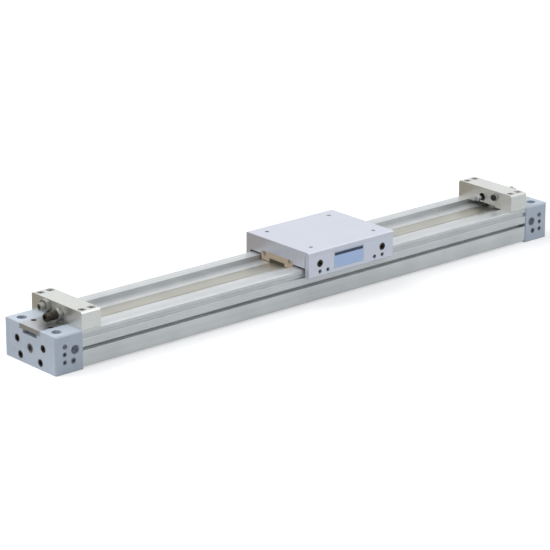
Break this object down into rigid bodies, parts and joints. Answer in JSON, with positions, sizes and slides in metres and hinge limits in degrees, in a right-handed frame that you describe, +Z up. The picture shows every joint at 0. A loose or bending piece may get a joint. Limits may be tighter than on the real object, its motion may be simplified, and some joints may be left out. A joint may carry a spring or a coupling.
{
  "type": "rodless pneumatic cylinder",
  "caption": "Band-sealed rodless air cylinder: slotted tube with a slide table driven by inner pistons, head covers with ports, and stop blocks with shock absorbers.",
  "frame": {"origin": "centre of the bounding box on the plane of the head covers' underside", "axes": "+X along the tube towards the right hand head cover, -Y towards the front with the air ports, +Z up towards the slide table's top"},
  "size_m": [0.62, 0.09, 0.054],
  "materials": {
    "anodised_tube": "clear anodised extrusion with fine lengthwise drawing lines",
    "anodised_table": "clear anodised, fine milled",
    "anodised_block": "clear anodised, milled",
    "cover_paint": "pale grey metallic paint over die casting",
    "machined_aluminium": "turned and milled",
    "cast_yoke": "cast, satin",
    "zinc_screw": "bright zinc plated",
    "zinc_plug": "zinc plated plug",
    "stainless_band": "cold rolled stainless strip",
    "belt_polyurethane": "satin polyurethane",
    "black_resin": "moulded",
    "white_resin": "moulded",
    "bearing_resin": "filled bearing resin",
    "rubber": "nitrile",
    "black_oxide": "black oxide, threaded",
    "polished_rod": "ground and polished",
    "magnet_ferrite": "sintered",
    "blue_plate": "blank printed plate"
  },
  "bodies": {
    "body": {"tube": "anodised_tube", "head_cover_left": "cover_paint", "head_cover_right": "cover_paint", "cover_gaskets": "rubber", "cushion_bosses": "machined_aluminium", "cover_screws": "black_oxide", "port_plugs": "zinc_plug", "dust_band": "stainless_band", "seal_belt": "belt_polyurethane", "band_clamps": "machined_aluminium", "band_wedges": "black_resin", "clamp_screws": "black_oxide", "stop_block_left": "anodised_block", "stop_block_right": "anodised_block", "block_screws": "zinc_screw", "shock_absorber_left": "black_oxide", "shock_absorber_right": "black_oxide", "absorber_nuts": "zinc_screw", "bolt_nuts": "zinc_screw"},
    "needle_left": {"cushion_needle_left": "zinc_plug"},
    "needle_right": {"cushion_needle_right": "zinc_plug"},
    "plunger_left": {"absorber_plunger_left": "polished_rod"},
    "plunger_right": {"absorber_plunger_right": "polished_rod"},
    "bolt_left": {"adjusting_bolt_left": "zinc_screw", "bolt_bumper_left": "black_resin"},
    "bolt_right": {"adjusting_bolt_right": "zinc_screw", "bolt_bumper_right": "black_resin"},
    "carriage": {"table": "anodised_table", "yoke": "cast_yoke", "yoke_screws": "zinc_screw", "piston_left": "machined_aluminium", "piston_right": "machined_aluminium", "piston_pins": "zinc_screw", "piston_seals": "rubber", "wear_rings": "white_resin", "magnets": "magnet_ferrite", "cushion_seals": "rubber", "belt_separators": "black_resin", "roller_shafts": "polished_rod", "end_cover_left": "white_resin", "end_cover_right": "white_resin", "scrapers": "rubber", "end_cover_screws": "zinc_screw", "top_bearings": "bearing_resin", "side_bearings": "bearing_resin", "adjusting_arm": "anodised_table", "arm_screws": "black_oxide", "bearing_set_screws": "zinc_plug", "name_plate": "blue_plate"},
    "roller_left": {"guide_roller_left": "polished_rod"},
    "roller_right": {"guide_roller_right": "polished_rod"}
  },
  "joints": [
    {"name": "table_slide", "type": "slide", "parent": "body", "child": "carriage", "axis": [1, 0, 0], "range_m": [-0.2305, 0.1605], "deforming": ["dust_band", "seal_belt"]},
    {"name": "roller_left_turn", "type": "hinge", "parent": "carriage", "child": "roller_left", "pos_m": [-0.0105, 0, 0.0349], "axis": [0, 1, 0], "continuous": true},
    {"name": "roller_right_turn", "type": "hinge", "parent": "carriage", "child": "roller_right", "pos_m": [0.0805, 0, 0.0349], "axis": [0, 1, 0], "continuous": true},
    {"name": "plunger_left_slide", "type": "slide", "parent": "body", "child": "plunger_left", "axis": [-1, 0, 0], "range_m": [0, 0.007], "stiffness_N_per_m": 377, "springref_m": -0.0112},
    {"name": "plunger_right_slide", "type": "slide", "parent": "body", "child": "plunger_right", "axis": [1, 0, 0], "range_m": [0, 0.007], "stiffness_N_per_m": 377, "springref_m": -0.0112},
    {"name": "bolt_left_adjust", "type": "slide", "parent": "body", "child": "bolt_left", "axis": [1, 0, 0], "range_m": [-0.004, 0.0025]},
    {"name": "bolt_right_adjust", "type": "slide", "parent": "body", "child": "bolt_right", "axis": [-1, 0, 0], "range_m": [-0.004, 0.0025]},
    {"name": "needle_left_turn", "type": "hinge", "parent": "body", "child": "needle_left", "pos_m": [-0.2995, -0.038, 0.0255], "axis": [0, 1, 0], "range_deg": [0, 1080]},
    {"name": "needle_right_turn", "type": "hinge", "parent": "body", "child": "needle_right", "pos_m": [0.2995, -0.038, 0.0255], "axis": [0, 1, 0], "range_deg": [0, 1080]}
  ],
  "couplings": [
    {"joint": "roller_left_turn", "follows": "table_slide", "rad_per_m": 333.33},
    {"joint": "roller_right_turn", "follows": "table_slide", "rad_per_m": 333.33}
  ]
}
